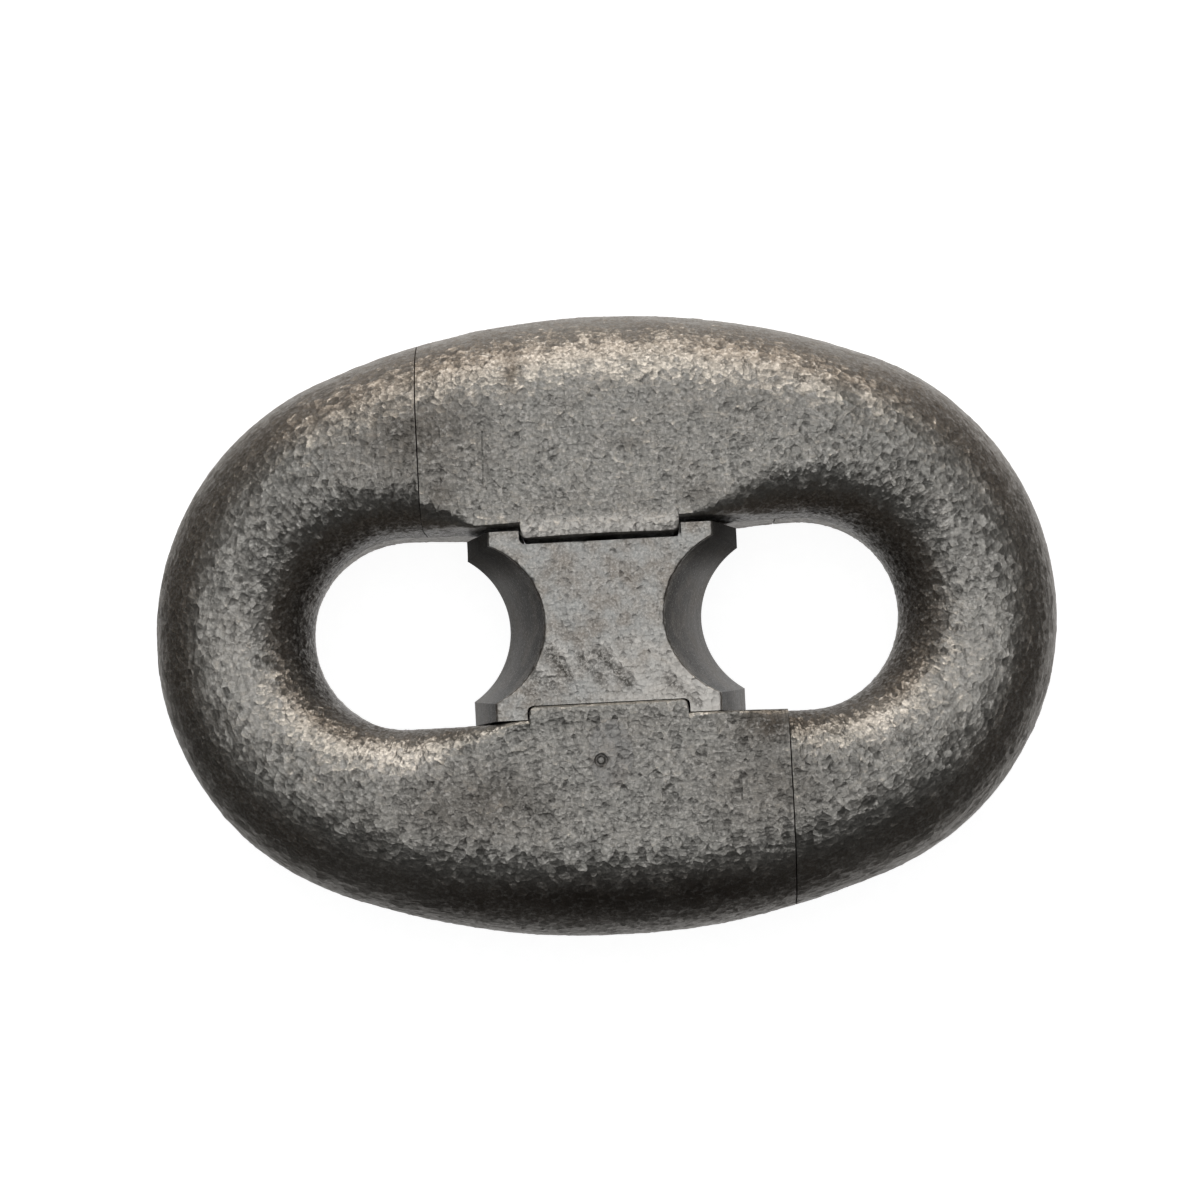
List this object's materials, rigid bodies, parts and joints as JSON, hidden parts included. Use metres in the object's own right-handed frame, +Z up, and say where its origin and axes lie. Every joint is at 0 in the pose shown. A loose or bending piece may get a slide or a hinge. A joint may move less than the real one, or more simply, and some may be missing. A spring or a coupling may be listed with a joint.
{
  "type": "chain joining shackle",
  "caption": "Oval forged chain joining shackle: interlocking half links locked by a waisted stud and a sealed taper pin, joining lengths of anchor chain.",
  "frame": {"origin": "middle of the shackle at its back faces, where it rests when laid flat", "axes": "+X along the length from crown to crown, +Y across the legs, +Z up through the depth"},
  "size_m": [0.228, 0.157, 0.058],
  "materials": {
    "forged_steel": "forged and tumbled, pitted, brown-grey",
    "stud_steel": "blasted faces with drafted, smooth hollows",
    "pin_steel": "turned taper",
    "soft_lead": "hammered soft lead, dull"
  },
  "bodies": {
    "root": {"half_link_left": "forged_steel", "half_link_right": "forged_steel", "stud": "stud_steel", "taper_pin": "pin_steel", "lead_plug": "soft_lead"}
  },
  "joints": []
}
